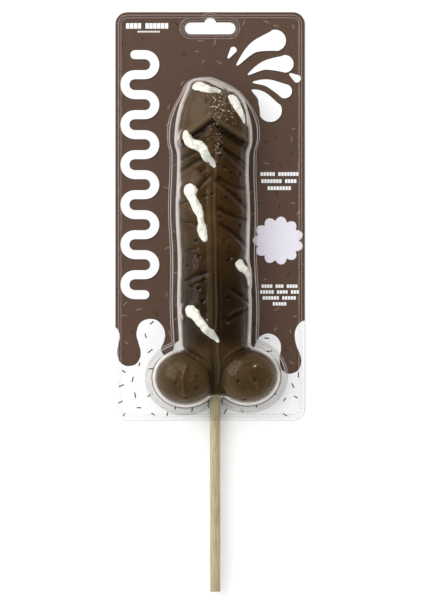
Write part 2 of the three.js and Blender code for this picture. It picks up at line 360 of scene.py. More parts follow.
def roundDome(dome, grow, raised, base):
    tidySelection()
    bpy.ops.mesh.primitive_uv_sphere_add(segments=72, ring_count=40, radius=1)
    piece = bpy.context.object
    spots = places(piece) * mm
    flat = np.hypot(spots[:, 0], spots[:, 1])
    reach = np.cos(np.arcsin(np.clip(spots[:, 2], -1, 1)))
    rise = archRise(np.clip(reach, 0, 1), dome["squareness"])
    direction = spots[:, :2] / np.maximum(flat, 1e-6)[:, None]
    x = pack["axisX"] + dome["across"] + direction[:, 0] * reach * (dome["halfWidth"] + grow)
    y = pack["tipY"] - dome["at"] + direction[:, 1] * reach * (dome["halfLength"] + grow)
    z = np.where(spots[:, 2] > 0.001, pack["back"] + (dome["height"] + raised) * rise, base)
    setPlaces(piece, np.column_stack([x, y, z]))
    return mendNormals(piece)


# Relief moulded into the candy

# each fold runs through [across, along] points; a minus depth is a groove, a plus depth a ridge
folds = [
    ([[-6.1, 41.6], [-14.0, 44.9], [-21.8, 49.5]], 1.2, -1.3),
    ([[-7.9, 48.2], [-13.6, 51.7], [-21.2, 55.9]], 1.5, -1.8),
    ([[1.1, 39.2], [9.8, 45.5], [18.6, 52.3]], 1.2, -1.5),
    ([[3.4, 41.2], [11.0, 49.0], [18.9, 55.6]], 1.3, -1.5),
    ([[-3.0, 59.4], [-8.1, 64.4], [-11.6, 69.4]], 1.1, -1.3),
    ([[-13.2, 73.2], [-17.6, 74.8], [-21.9, 76.6]], 1.1, -1.2),
    ([[2.2, 60.4], [10.0, 64.9], [18.4, 67.4]], 1.4, -1.6),
    ([[1.7, 62.7], [9.6, 69.6], [19.3, 79.4]], 1.4, -1.7),
    ([[2.6, 79.6], [10.2, 83.4], [19.3, 86.2]], 1.3, -1.6),
    ([[3.2, 88.9], [11.6, 95.2], [19.3, 103.4]], 1.3, -1.6),
    ([[-11.3, 89.2], [-15.6, 88.2], [-20.0, 87.4]], 1.1, -1.2),
    ([[-11.9, 104.2], [-14.6, 105.0], [-17.6, 105.4]], 0.9, -1.1),
    ([[-5.7, 119.2], [-11.6, 121.0], [-17.8, 123.6]], 1.3, -1.5),
    ([[10.4, 129.2], [15.7, 133.2], [21.1, 137.9]], 1.3, -1.7),
    ([[21.1, 141.0], [14.8, 144.0], [8.0, 148.4]], 1.2, -1.5),
    ([[8.6, 145.6], [11.6, 142.6], [15.0, 141.2]], 0.7, 0.9),
    ([[-9.2, 168.9], [-5.6, 172.0], [-3.3, 175.2]], 0.6, 1.0),
    ([[13.9, 165.7], [9.4, 168.6], [5.8, 171.5]], 0.6, 1.1),
    ([[5.8, 171.5], [5.0, 173.6], [5.2, 176.0]], 0.6, 0.8),
    ([[1.4, 164.0], [2.0, 172.0], [2.5, 180.0], [1.9, 187.0]], 1.0, 1.1),
    ([[-29.4, 173.4], [-25.2, 178.4], [-20.7, 184.7]], 0.8, 0.8),
    ([[-17.6, 177.1], [-20.1, 184.9], [-18.8, 197.0]], 0.9, 1.0),
    ([[-25.0, 184.7], [-22.6, 190.0], [-20.2, 194.4]], 0.8, 0.6),
    ([[-13.4, 180.0], [-12.2, 183.4], [-14.6, 186.4]], 0.7, 0.6),
    ([[16.0, 176.0], [23.6, 173.9], [29.2, 178.4]], 0.7, 0.9),
    ([[14.2, 179.0], [22.4, 184.6], [26.2, 189.8]], 0.8, 0.9),
    ([[22.0, 191.5], [22.6, 194.5], [21.0, 197.0]], 0.8, 0.6),
    ([[25.0, 183.0], [25.6, 185.6], [25.0, 187.8]], 0.6, 0.8),
    ([[32.6, 184.2], [30.6, 188.4], [29.0, 191.6]], 0.7, 0.7),
]
# small round pits, as [across, along], each with a low rim
pitForm = {"depth": 1.6, "width": 0.9, "rim": 0.2, "rimAt": 1.8, "rimWidth": 0.6}
pits = [
    [-8.3, 56.5], [-13.3, 55.0], [3.9, 47.0], [5.9, 54.1], [9.5, 57.7], [14.6, 57.8], [-6.2, 72.0],
    [-1.7, 70.7], [6.9, 72.8], [2.9, 84.7], [14.6, 89.9], [-11.5, 99.6], [-10.0, 109.3], [-16.7, 114.7],
    [-14.8, 127.6],
    [-10.0, 129.1], [-7.0, 123.5], [-7.7, 136.6], [5.7, 99.0], [8.7, 103.3], [7.8, 111.9], [8.0, 134.7],
    [-24.2, 187.2], [-18.6, 196.0], [-11.6, 183.2], [-11.9, 190.0], [14.6, 186.2], [18.0, 197.2],
    [24.4, 185.2],
]
# the V-shaped groove behind the head: its lip, walls and floor, as distances past its line
crown = {
    "apexAcross": -1.7, "apexAlong": 24.0, "slope": 0.84, "bow": 0.0069, "depth": 3.0, "lip": 1.2,
    "lipAt": -2.2, "lipWidth": 2.4, "frontWall": (-1.3, 1.3), "backWall": (2.8, 7.0),
}
# lesser grooves behind it, as [distance past its line, depth], each with a raised edge in front
crownRipples = [[7.0, 0.7], [9.6, 0.6], [12.2, 0.45]]
seam = {
    "left": -5.1, "right": 2.4, "height": 0.9, "lines": [-1.2, 1.9], "lineDepth": [0.6, 1.1],
    "lineWidth": 0.6, "edge": 0.6, "fadeFrom": 150, "fadeTo": 172,
}
# patches of fine wrinkles, as [across, along, half width, half length]
wrinkledPatches = [
    [2.2, 15.0, 7.0, 9.5], [8.5, 21.0, 4.0, 5.0], [-0.5, 28.5, 3.5, 4.0], [1.5, 40.0, 2.5, 9.0],
]
wrinkleSettings = {"sizeMm": 1.3, "height": 0.6}
# the groove between the lobes
crease = {"across": -1.4, "depth": 1.3, "width": 1.5, "start": 166, "end": 176}


def smoothRoute(points, steps):
    # a curve through the points, as an array of places
    route = np.array(points, float)
    spots = []
    for value in np.linspace(0, len(route) - 1, steps):
        i = min(int(value), len(route) - 2)
        t = value - i
        before, start = route[max(i - 1, 0)], route[i]
        end, after = route[i + 1], route[min(i + 2, len(route) - 1)]
        squared = (2 * before - 5 * start + 4 * end - after) * t ** 2
        cubed = (3 * start - before - 3 * end + after) * t ** 3
        spots.append(0.5 * (2 * start + (end - before) * t + squared + cubed))
    return np.array(spots)


def distanceToRoute(across, along, route):
    best = np.full(across.shape, 1e9)
    for (ax, ay), (bx, by) in zip(route[:-1], route[1:]):
        dx, dy = bx - ax, by - ay
        share = np.clip(((across - ax) * dx + (along - ay) * dy) / (dx * dx + dy * dy), 0, 1)
        best = np.minimum(best, np.hypot(across - ax - share * dx, along - ay - share * dy))
    return best


def pastCrown(across, along):
    sideways = across - crown["apexAcross"]
    return along - crown["apexAlong"] - crown["slope"] * np.abs(sideways) + crown["bow"] * sideways ** 2


def relief(across, along):
    past = pastCrown(across, along)
    height = crown["lip"] * bump(past - crown["lipAt"], crown["lipWidth"])
    inGroove = smoothStep(*crown["frontWall"], past) * (1 - smoothStep(*crown["backWall"], past))
    height -= crown["depth"] * inGroove
    for at, depth in crownRipples:
        height -= depth * bump(past - at, 0.8)
        height += 0.4 * depth * bump(past - at + 1.5, 0.7)
    # the raised seam down the shaft, and the two fine lines that wander along it
    onShaft = smoothStep(0.5, 4, past) * (1 - smoothStep(seam["fadeFrom"], seam["fadeTo"], along))
    edge = seam["edge"]
    band = smoothStep(seam["left"] - edge, seam["left"] + edge, across)
    band *= 1 - smoothStep(seam["right"] - edge, seam["right"] + edge, across)
    height += seam["height"] * band * onShaft
    for line, depth in zip(seam["lines"], seam["lineDepth"]):
        wander = line + 0.5 * np.sin(along / 17) + 0.25 * np.sin(along / 7.3 + 1)
        height -= depth * onShaft * bump(across - wander, seam["lineWidth"])
    for route, width, depth in folds:
        bent = smoothRoute(route, 9)
        height += depth * bump(distanceToRoute(across, along, bent), width)
        if depth < 0:  # the lit shoulder below each groove
            height -= 0.45 * depth * bump(distanceToRoute(across, along - 2.0 * width, bent), width)
    creased = smoothStep(crease["start"], crease["end"], along)
    height -= crease["depth"] * creased * bump(across - crease["across"], crease["width"])
    for pitAcross, pitAlong in pits:
        away = np.hypot(across - pitAcross, along - pitAlong)
        height -= pitForm["depth"] * bump(away, pitForm["width"])
        height += pitForm["rim"] * bump(away - pitForm["rimAt"], pitForm["rimWidth"])
    return height


def addRelief(piece, share, floor):
    spots = places(piece)
    lift = relief(*fromAxisAndTip(spots)) * smoothStep(floor, floor + 9, spots[:, 2])
    spots[:, 2] += share * lift
    setPlaces(piece, spots)
    keepValues(piece, "moulding", lift)
    return piece


def roughen(piece, sizeMm, amount, seed):
    spots = places(piece)
    normals = vertexNormals(piece)
    shift = Vector((seed * 7.3, seed * 3.1, seed * 1.7))
    lift = np.array([noise(Vector(s) / sizeMm + shift) for s in spots])
    setPlaces(piece, spots + normals * (amount * lift)[:, None])
    return piece


def wrinkle(piece):
    # small sharp wrinkles on the right of the head, which catch the light as specks
    spots = places(piece)
    across, along = fromAxisAndTip(spots)
    share = np.zeros(len(spots))
    for patchAcross, patchAlong, wide, long in wrinkledPatches:
        share = np.maximum(share, bump(across - patchAcross, wide) * bump(along - patchAlong, long))
    keepValues(piece, "wrinkles", share)
    inside = share > 0.1
    lift = [abs(noise(Vector(s) / wrinkleSettings["sizeMm"])) for s in spots[inside]]
    spots[inside, 2] += wrinkleSettings["height"] * share[inside] * np.array(lift)
    setPlaces(piece, spots)


# Candy

candySettings = {"voxel": 0.6, "smoothing": 3}


def chocolateMaterial():
    # cocoa candy poured in a mould: dark olive brown, satin, with painted shade in its grooves and a painted
    # highlight on its crests
    settings = {
        "deep": "#2c1c08", "body": "#3f2b11", "pale": "#523e22", "tip": "#4a3924", "low": "#1c1002",
        "lobes": "#493a22", "groove": "#1c1004", "crest": "#6c5a40", "fleck": "#d9c8b6", "gloss": "#ffdcb0",
        "coat": "#ffe6c8", "cloudMm": 16, "dentMm": 5.5, "mottleMm": 2.6, "grainMm": 1.6, "glintMm": 1.3,
        "speckMm": 0.7, "middleMm": 0.8,
    }
    material, tree, output, where = newMaterial("pouredCocoaCandy")
    cloud = noiseNode(tree, where, settings["cloudMm"], 4.0, 0.6)
    shade = ramp(tree, cloud, [(0.3, colour(settings["deep"])), (0.52, colour(settings["body"])),
                               (0.75, colour(settings["pale"]))])
    sideways, upwards, _ = axes(tree, where)
    # the tip is painted paler and greyer than the shaft, a painted sheen on the head
    shade = tinted(tree, fade(tree, upwards, 100, 118, 0.9), shade, settings["tip"])
    # the shaft darkens towards its root, and its right side is painted darker than its left, painted shade
    # as if the light came from the left
    ending = fade(tree, upwards, -38, -20)
    lowShare = multiply(tree, fade(tree, upwards, 60, 0, 0.95), ending)
    paintedRightShade = multiply(tree, fade(tree, sideways, -4, 16, 0.35), ending)
    shade = tinted(tree, greater(tree, lowShare, paintedRightShade), shade, settings["low"])
    onLobes = fade(tree, upwards, -20, -40, 0.6)
    shade = tinted(tree, onLobes, shade, settings["lobes"])
    # the hollow between the lobes is painted as dark as the lower shaft, painted shade in the recess
    offMiddle = mathNode(tree, "ADD", {0: sideways}, {1: -(pack["axisX"] + settings["middleMm"]) * mm})
    paintedHollowShade = fade(tree, mathNode(tree, "ABSOLUTE", {0: offMiddle}), 8, 3, 0.75)
    shade = tinted(tree, multiply(tree, paintedHollowShade, onLobes), shade, settings["low"])
    # small dark marks all over, as poured candy has, and painted shade darkening the grooves
    moulding = attributeNode(tree, "moulding")
    paintedGrooveShade = remap(tree, moulding, -0.15, -2.0, 0.0, 0.85, "LINEAR")
    marks = remap(tree, noiseNode(tree, where, settings["mottleMm"], 4.0, 0.65), 0.5, 0.72, 0.0, 0.5)
    shade = tinted(tree, greater(tree, paintedGrooveShade, marks), shade, settings["groove"])
    # the crests are painted paler, a painted highlight
    raised = remap(tree, moulding, 0.4, 1.4, 0.0, 0.45, "LINEAR")
    shade = tinted(tree, raised, shade, settings["crest"])
    # painted highlight specks where the wrinkled patch on the head catches the light
    paintedGlints = remap(tree, noiseNode(tree, where, settings["glintMm"], 2.0, 0.7), 0.57, 0.66, kind="LINEAR")
    shade = tinted(tree, multiply(tree, paintedGlints, attributeNode(tree, "wrinkles")), shade, settings["fleck"])
    grain = noiseNode(tree, where, settings["grainMm"], 4.0, 0.6)
    relieved = bumpNode(tree, noiseNode(tree, where, settings["speckMm"], 2.0, 0.5), 0.2, 0.2)
    relieved = bumpNode(tree, grain, 0.5, 0.35, relieved)
    relieved = bumpNode(tree, noiseNode(tree, where, settings["dentMm"], 3.0, 0.5), 0.6, 1.6, relieved)
    roughness = remap(tree, grain, 0.35, 0.7, 0.3, 0.5, "LINEAR")
    shine = remap(tree, paintedGrooveShade, 0.0, 0.5, 0.25, 0.02, "LINEAR")
    coverWith(tree, output,
              {"IOR": 1.5, "Specular Tint": colour(settings["gloss"]), "Coat Weight": 0.05,
               "Coat Roughness": 0.1, "Coat Tint": colour(settings["coat"])},
              {"Base Color": shade, "Roughness": roughness, "Specular IOR Level": shine, "Normal": relieved})
    return material


def makeCandy():
    parts = [shaftTube("candyShaft", 0, 0, pack["back"], 120, 300)]
    parts += [roundDome(dome, 0, 0, pack["back"]) for dome in domes]
    candy = joinAll("chocolateCandy", parts)
    applyModifier(candy, "REMESH", mode="VOXEL", voxel_size=candySettings["voxel"] * mm)
    applyModifier(candy, "SMOOTH", factor=0.5, iterations=candySettings["smoothing"])
    addRelief(candy, 1, 4)
    roughen(candy, 9, 0.22, 1)
    wrinkle(candy)
    # the flat back stays flat on the card
    spots = places(candy)
    spots[:, 2] = np.maximum(spots[:, 2], pack["back"])
    setPlaces(candy, spots)
    shadeSmooth(candy)
    candy.data.materials.append(chocolateMaterial())
    report(f"candy, {len(candy.data.polygons)} faces")
    return candy


# Icing drips

# each drip is a run of blobs as [across, along, radius]
drips = [
    [[-10.4, 3.4, 3.8], [-8.8, 4.0, 4.2], [-6.4, 5.0, 3.6], [-4.0, 5.9, 2.9], [-1.6, 6.4, 2.3],
     [0.4, 6.6, 1.7], [1.8, 7.6, 1.1], [2.9, 6.6, 0.7]],
    [[11.6, 12.0, 4.0], [12.2, 13.2, 4.4], [13.6, 16.2, 3.5], [15.2, 19.4, 2.6], [16.4, 22.2, 1.8],
     [17.2, 24.6, 1.2], [17.8, 26.4, 0.7]],
    [[-17.6, 33.0, 1.9], [-17.9, 35.0, 2.6], [-16.8, 37.6, 2.9], [-14.6, 39.2, 2.7], [-12.2, 40.2, 2.8],
     [-9.8, 41.0, 3.0], [-7.8, 42.6, 2.8], [-6.2, 45.2, 3.0], [-4.4, 48.0, 2.9], [-2.4, 50.6, 2.1],
     [-0.6, 52.8, 1.2], [0.0, 54.4, 0.6]],
    [[-15.9, 68.3, 4.4], [-14.9, 71.2, 3.2], [-13.8, 73.4, 2.3], [-12.2, 76.8, 2.7], [-10.8, 79.6, 2.9],
     [-9.6, 82.8, 2.3], [-8.9, 86.4, 1.7], [-8.6, 88.6, 1.6], [-8.1, 92.0, 2.9], [-7.4, 95.0, 3.0],
     [-6.2, 98.0, 1.8]],
    [[15.4, 114.2, 3.3], [17.0, 116.0, 3.0], [18.6, 118.0, 2.6], [19.8, 120.6, 2.0], [20.2, 124.0, 1.4],
     [20.4, 127.0, 0.8]],
    [[-15.6, 142.9, 3.7], [-13.4, 144.6, 3.2], [-11.2, 147.2, 2.6], [-9.0, 150.0, 2.5], [-6.6, 152.8, 2.4],
     [-4.2, 155.4, 2.4], [-1.8, 157.6, 2.2], [0.4, 159.6, 1.6], [1.8, 161.8, 0.8]],
]
icingSettings = {
    "voxel": 0.3, "swell": 1.12, "flatness": 0.72, "proud": 1.75, "between": 5, "lowest": 2.0,
    "steepest": 1.3, "white": "#f3f1e4", "dull": "#cbc9ba", "thin": "#a9aaa2",
}
# places near the ends of drips where the icing is greyer, as [across, along, reach]
greyedEnds = [[-3.2, 49.4, 5.5], [-2.0, 157.0, 6.5], [-0.6, 6.4, 4.0]]


def icingMaterial():
    # set sugar icing: opaque warm white, satin, with a faintly crumbly skin
    settings = icingSettings
    material, tree, output, where = newMaterial("setWhiteIcing")
    cloud = noiseNode(tree, where, 2.4, 3.0, 0.5)
    shade = ramp(tree, cloud, [(0.32, colour(settings["dull"])), (0.62, colour(settings["white"]))])
    shade = tinted(tree, attributeNode(tree, "greying"), shade, settings["thin"])
    relieved = bumpNode(tree, noiseNode(tree, where, 0.5, 3.0, 0.6), 0.3, 0.2)
    coverWith(tree, output,
              {"Roughness": 0.38, "IOR": 1.46, "Subsurface Weight": 0.15, "Subsurface Scale": mm},
              {"Base Color": shade, "Normal": relieved})
    return material


def skinAt(across, along):
    return float(skinHeight(np.array([across]), np.array([along]))[0])


def makeIcing():
    settings = icingSettings
    blobs = []
    bpy.ops.object.select_all(action="DESELECT")
    bpy.ops.mesh.primitive_ico_sphere_add(subdivisions=3, radius=1)
    seed = bpy.context.object
    for route in drips:
        steps = np.linspace(0, len(route) - 1, (len(route) - 1) * settings["between"] + 1)
        columns = [np.interp(steps, range(len(route)), [p[k] for p in route]) for k in range(3)]
        for across, along, radius in zip(*columns):
            slopeX = skinAt(across + 0.5, along) - skinAt(across - 0.5, along)
            slopeY = skinAt(across, along + 0.5) - skinAt(across, along - 0.5)
            slopeX, slopeY = np.clip([slopeX, slopeY], -settings["steepest"], settings["steepest"])
            tilt = Vector((-slopeX, slopeY, 1)).normalized()
            blob = bpy.data.objects.new("blob", seed.data.copy())
            bpy.context.collection.objects.link(blob)
            wide = radius * settings["swell"]
            rise = wide * settings["flatness"]
            blob.scale = (wide * mm, wide * mm, rise * mm)
            blob.rotation_mode = "QUATERNION"
            blob.rotation_quaternion = tilt.to_track_quat("Z", "Y")
            height = max(skinAt(across, along), settings["lowest"]) + pack["back"]
            on = Vector((pack["axisX"] + across, pack["tipY"] - along, height))
            blob.location = (on + tilt * min(0.2, settings["proud"] - rise)) * mm
            blobs.append(blob)
    bpy.data.objects.remove(seed)
    icing = joinAll("icingDrips", blobs)
    applyModifier(icing, "REMESH", mode="VOXEL", voxel_size=settings["voxel"] * mm)
    applyModifier(icing, "SMOOTH", factor=0.5, iterations=4)
    roughen(icing, 3.2, 0.5, 3)
    roughen(icing, 1.4, 0.2, 2)
    spots = places(icing)
    across, along = fromAxisAndTip(spots)
    greying = np.zeros(len(spots))
    for endAcross, endAlong, reach in greyedEnds:
        away = np.hypot(across - endAcross, along - endAlong)
        greying = np.maximum(greying, 0.75 * (1 - smoothStep(0.4 * reach, reach, away)))
    keepValues(icing, "greying", greying)
    shadeSmooth(icing)
    icing.data.materials.append(icingMaterial())
    report(f"icing, {len(icing.data.polygons)} faces")
    return icing


# Outlines on the card

def roundedBox(x, y, halfX, halfY, radius):
    # distance to a rounded rectangle round the origin, below zero inside it
    dx = np.abs(x) - halfX + radius
    dy = np.abs(y) - halfY + radius
    return np.hypot(np.maximum(dx, 0), np.maximum(dy, 0)) + np.minimum(np.maximum(dx, dy), 0) - radius


cardMiddle = (pack["cardTop"] + pack["cardBottom"]) / 2
cardHalf = (pack["cardTop"] - pack["cardBottom"]) / 2


def toCardEdge(x, y):
    return roundedBox(x, y - cardMiddle, pack["cardWidth"] / 2, cardHalf, pack["cardCorner"])


def toSlot(x, y):
    end = pack["slotHeight"] / 2
    bar = roundedBox(x, y - pack["slotY"], pack["slotLength"] / 2, end, end)
    notch = np.hypot(x, y - pack["slotY"] - pack["notchRise"]) - pack["notchRadius"]
    return np.minimum(bar, notch)


def arc(centre, radius, start, end, steps):
    turns = np.linspace(math.radians(start), math.radians(end), steps + 1)
    return [(centre[0] + radius * math.cos(t), centre[1] + radius * math.sin(t)) for t in turns]


def cardOutline(inset):
    x = pack["cardWidth"] / 2 - pack["cardCorner"]
    low, high = pack["cardBottom"] + pack["cardCorner"], pack["cardTop"] - pack["cardCorner"]
    radius = pack["cardCorner"] - inset
    corners = [((x, high), 0), ((-x, high), 90), ((-x, low), 180), ((x, low), 270)]
    return [p for centre, start in corners for p in arc(centre, radius, start, start + 90, 16)]


def slotOutline(grow):
    end = pack["slotHeight"] / 2 + grow
    x = pack["slotLength"] / 2 - pack["slotHeight"] / 2
    notch = pack["notchRadius"] + grow
    start = math.degrees(math.asin((end - pack["notchRise"]) / notch))
    y = pack["slotY"]
    return arc((x, y), end, -90, 90, 16) + arc((0, y + pack["notchRise"]), notch, start, 180 - start, 16) + \
        arc((-x, y), end, 90, 270, 16)


def curveMesh(name, outlines, height, **settings):
    # closed outlines drawn as curves at one height, then made a mesh
    tidySelection()
    curve = bpy.data.curves.new(name, "CURVE")
    for key, value in settings.items():
        setattr(curve, key, value)
    for outline in outlines:
        spline = curve.splines.new("POLY")
        spline.points.add(len(outline) - 1)
        for point, (x, y) in zip(spline.points, outline):
            point.co = (x * mm, y * mm, 0, 1)
        spline.use_cyclic_u = True
    piece = bpy.data.objects.new(name, curve)
    piece.location.z = height * mm
    bpy.context.collection.objects.link(piece)
    pick(piece)
    bpy.ops.object.convert(target="MESH")
    bpy.ops.object.transform_apply(location=True, rotation=True, scale=True)
    return mendNormals(bpy.context.object)


def plate(name, outlines, low, high):
    # filled outlines given a thickness; an outline inside another one is a hole
    return curveMesh(name, outlines, (high + low) / 2, dimensions="2D", fill_mode="BOTH",
                     extrude=(high - low) / 2 * mm)


def cut(piece, tool, operation):
    applyModifier(piece, "BOOLEAN", object=tool, operation=operation, solver="EXACT")
    bpy.data.objects.remove(tool)
    return piece


# Printed card

cardSettings = {"inkLow": 0.6, "brownTop": 0.62, "shadowTop": 0.632, "whiteTop": 0.645, "sprinkleTop": 0.665}


def inkMaterial(name, base, darker, roughness):
    # offset ink on coated board: even and satin, with the faint mottle of the board
    material, tree, output, where = newMaterial(name)
    mottle = noiseNode(tree, where, 1.2, 4.0, 0.6)
    shade = ramp(tree, mottle, [(0.35, colour(darker)), (0.65, colour(base))])
    relieved = bumpNode(tree, noiseNode(tree, where, 0.35, 2.0, 0.5), 0.05, 0.05)
    coverWith(tree, output, {"Roughness": roughness, "IOR": 1.48}, {"Base Color": shade, "Normal": relieved})
    return material


def makeCard():
    board = plate("cardBoard", [cardOutline(0)], 0.0, pack["cardTopFace"])
    cut(board, plate("slotTool", [slotOutline(0)], -1, 2), "DIFFERENCE")
    board.data.materials.append(inkMaterial("whiteCoatedBoard", "#ecebe8", "#e2e0dc", 0.55))
    brown = plate("brownPrint", [cardOutline(0.05)], cardSettings["inkLow"], cardSettings["brownTop"])
    cut(brown, plate("slotTool", [slotOutline(0.05)], 0, 1), "DIFFERENCE")
    brown.data.materials.append(inkMaterial("brownInk", "#5d4435", "#553d2e", 0.42))
    report("card")
    return board, brown


# the edge between the brown field and the white one, as [x, y] down the drips and up the white tongues
border = [
    [-60.0, -14.6], [-57.0, -18.2], [-56.3, -22.6], [-57.2, -27.0], [-57.8, -32.0], [-56.4, -37.2],
    [-53.0, -39.8], [-49.9, -40.1], [-46.0, -38.8], [-43.4, -34.5], [-43.3, -30.1], [-44.6, -25.4],
    [-45.8, -20.2], [-44.4, -14.6], [-41.4, -11.8], [-37.3, -10.8], [-32.9, -11.8], [-29.3, -15.8],
    [-28.0, -20.5], [-28.9, -25.4], [-30.6, -29.4], [-29.0, -33.0], [-25.6, -33.2], [-23.0, -30.0],
    [-21.6, -26.0], [-18.0, -24.0], [-13.4, -26.0], [-11.0, -34.0], [-6.0, -40.0], [6.0, -42.0],
    [18.0, -40.0], [24.6, -34.0], [27.6, -28.0], [30.4, -22.4], [35.8, -19.9], [40.6, -21.4],
    [43.6, -25.2], [44.1, -29.6], [43.2, -34.4], [43.6, -39.4], [44.8, -42.6], [48.0, -44.8],
    [51.4, -44.6], [54.6, -43.0], [56.6, -39.0], [56.4, -34.0], [54.0, -28.0], [52.8, -22.8],
    [53.0, -18.2], [55.0, -14.2], [58.0, -12.0], [61.0, -11.6],
]


def borderOutline():
    edge = [tuple(p) for p in smoothRoute(border, 300)]
    return [(-62, -80), (62, -80)] + edge[::-1]


def curveStroke(points, widths, steps):
    # outline of a brush stroke through points, with a width at each
    spots = smoothRoute(points, steps)
    fine = np.linspace(0, len(points) - 1, steps)
    knots = np.arange(len(points))
    half = np.interp(fine, knots, widths) / 2
    heading = np.gradient(spots, axis=0)
    heading /= np.linalg.norm(heading, axis=1)[:, None]
    side = np.column_stack([-heading[:, 1], heading[:, 0]])
    left = spots + side * half[:, None]
    right = spots - side * half[:, None]
    turn = math.degrees(math.atan2(side[-1][1], side[-1][0]))
    endCap = arc(spots[-1], half[-1], turn, turn - 180, 10)[1:-1]
    turn = math.degrees(math.atan2(-side[0][1], -side[0][0]))
    startCap = arc(spots[0], half[0], turn, turn - 180, 10)[1:-1]
    return [tuple(p) for p in left] + endCap + [tuple(p) for p in right[::-1]] + startCap


ribbon = {"left": -55.8, "right": -31.6, "low": 1.5, "high": 156.5, "runs": 13, "width": 5.6}


def pipedRibbon(shiftX, shiftY):
    # a ribbon piped to and fro down the card's left side, its turns as half circles
    pitch = (ribbon["high"] - ribbon["low"] - ribbon["width"]) / (ribbon["runs"] - 1)
    turn = pitch / 2
    left = ribbon["left"] + ribbon["width"] / 2 + turn
    right = ribbon["right"] - ribbon["width"] / 2 - turn
    middle = []
    for i in range(ribbon["runs"]):
        y = ribbon["high"] - ribbon["width"] / 2 - i * pitch
        ends = (left, right) if i % 2 == 0 else (right, left)
        middle += [(x, y) for x in np.linspace(ends[0], ends[1], 9)]
        if i < ribbon["runs"] - 1:
            start, end = (90, -90) if i % 2 == 0 else (90, 270)
            middle += arc((ends[1], y - turn), turn, start, end, 14)[1:-1]
    moved = [(x + shiftX, y + shiftY) for x, y in middle]
    return curveStroke(moved, [ribbon["width"]] * len(moved), 2 * len(moved))


def scallop(centre, radius, depth, count, squash):
    turns = np.linspace(0, 2 * np.pi, 160, endpoint=False)
    reach = radius + depth * np.abs(np.sin(count * turns / 2)) ** 0.8
    x = centre[0] + reach * np.cos(turns)
    y = centre[1] + squash * reach * np.sin(turns)
    return [(float(a), float(b)) for a, b in zip(x, y)]


teardrops = [
    ([(17.0, 147.5), (27.0, 158.0), (40.5, 162.5)], [1.2, 6.5, 13.5]),
    ([(24.0, 141.5), (34.0, 147.0), (46.5, 148.0)], [1.0, 5.5, 11.0]),
    ([(27.0, 136.5), (36.0, 136.0), (46.5, 131.0)], [1.0, 4.6, 9.0]),
    ([(26.5, 131.5), (32.5, 127.5), (37.5, 119.0)], [1.2, 6.6, 14.5]),
    ([(50.0, 141.5), (54.0, 138.8)], [1.5, 5.0]),
    ([(11.5, 152.0), (14.5, 156.5)], [1.4, 4.2]),
]


# rows of small plain blocks as [middle x, y, height, numbers of blocks in each group]
blockRows = [
    [-39.0, 171.6, 3.4, [4, 6]], [-38.0, 168.0, 1.0, [12]],
    [43.4, 79.4, 2.3, [5, 7]], [43.0, 75.0, 2.3, [7, 4]], [43.2, 70.6, 2.3, [8]],
    [43.4, 9.6, 2.1, [4, 3, 4]], [43.4, 6.0, 2.1, [5, 4, 3]],
    [43.2, 2.3, 2.1, [6, 5]], [43.4, -1.4, 2.1, [5]],
]


def smallBlocks():
    blocks = []
    for middle, y, height, groups in blockRows:
        wide, gap = 0.52 * height + 0.3, 0.35
        steps = sum(groups) + len(groups) - 1
        x = middle - steps * (wide + gap) / 2
        for count in groups:
            for _ in range(count):
                low, high = y - height / 2, y + height / 2
                blocks.append([(x, low), (x + wide, low), (x + wide, high), (x, high)])
                x += wide + gap
            x += wide + gap
    return blocks


def makeBadge():
    # a plain splash of very pale lilac ink
    shapes = [scallop((42.4, 38.0), 12.6, 3.2, 11, 0.95)]
    badge = plate("paleBadge", shapes, cardSettings["brownTop"], cardSettings["whiteTop"])
    badge.data.materials.append(inkMaterial("paleLilacInk", "#eeebf4", "#e6e2ee", 0.45))
    return badge


def makePrintShadow():
    # a darker brown line printed to the lower right of the white motifs
    right, down = 0.5, -0.6
    shapes = [pipedRibbon(right, down)]
    for route, widths in teardrops:
        shapes.append(curveStroke([(x + right, y + down) for x, y in route], widths, 40))
    shadow = plate("printShadow", shapes, cardSettings["brownTop"], cardSettings["shadowTop"])
    shadow.data.materials.append(inkMaterial("darkBrownInk", "#37271e", "#2f2019", 0.42))
    return shadow


def makeWhitePrint():
    field = plate("whitePrint", [borderOutline()], cardSettings["brownTop"], cardSettings["whiteTop"])
    cut(field, plate("edgeTool", [cardOutline(0.1)], 0, 1), "INTERSECT")
    shapes = [pipedRibbon(0, 0)]
    shapes += [curveStroke(route, widths, 40) for route, widths in teardrops]
    shapes += smallBlocks()
    motifs = plate("motifs", shapes, cardSettings["brownTop"], cardSettings["whiteTop"])
    white = joinAll("whitePrint", [field, motifs])
    white.data.materials.append(inkMaterial("bareWhiteBoard", "#fcfdfd", "#f6f7f7", 0.45))
    report("white print")
    return white


def insideWhite(x, y):
    # below the drip border, counted by how often a line straight up from the spot crosses it
    edge = smoothRoute(border, 120)
    near, far = edge[:-1], edge[1:]
    across = (near[:, 0] <= x) != (far[:, 0] <= x)
    run = np.where(across, far[:, 0] - near[:, 0], 1)
    rise = near[:, 1] + (far[:, 1] - near[:, 1]) * (x - near[:, 0]) / run
    return int(np.sum(across & (rise > y))) % 2 == 1


# parts of the brown field that the motifs cover, as [left, right, low, high]
printedAreas = [
    [-59, -29, -1, 159], [10, 58, 110, 170], [26, 59, 22, 54], [28, 59, 68, 82], [28, 59, -4, 12],
    [-55, -23, 166, 175],
]
sprinkleSettings = {"seed": 7, "count": 190, "tries": 4000, "spacing": 6.5, "width": 0.75, "darkShare": 0.25}
sprinkleInks = {"paleSprinkles": ("#8d7566", "#806859"), "darkSprinkles": ("#3f2e24", "#35261d")}


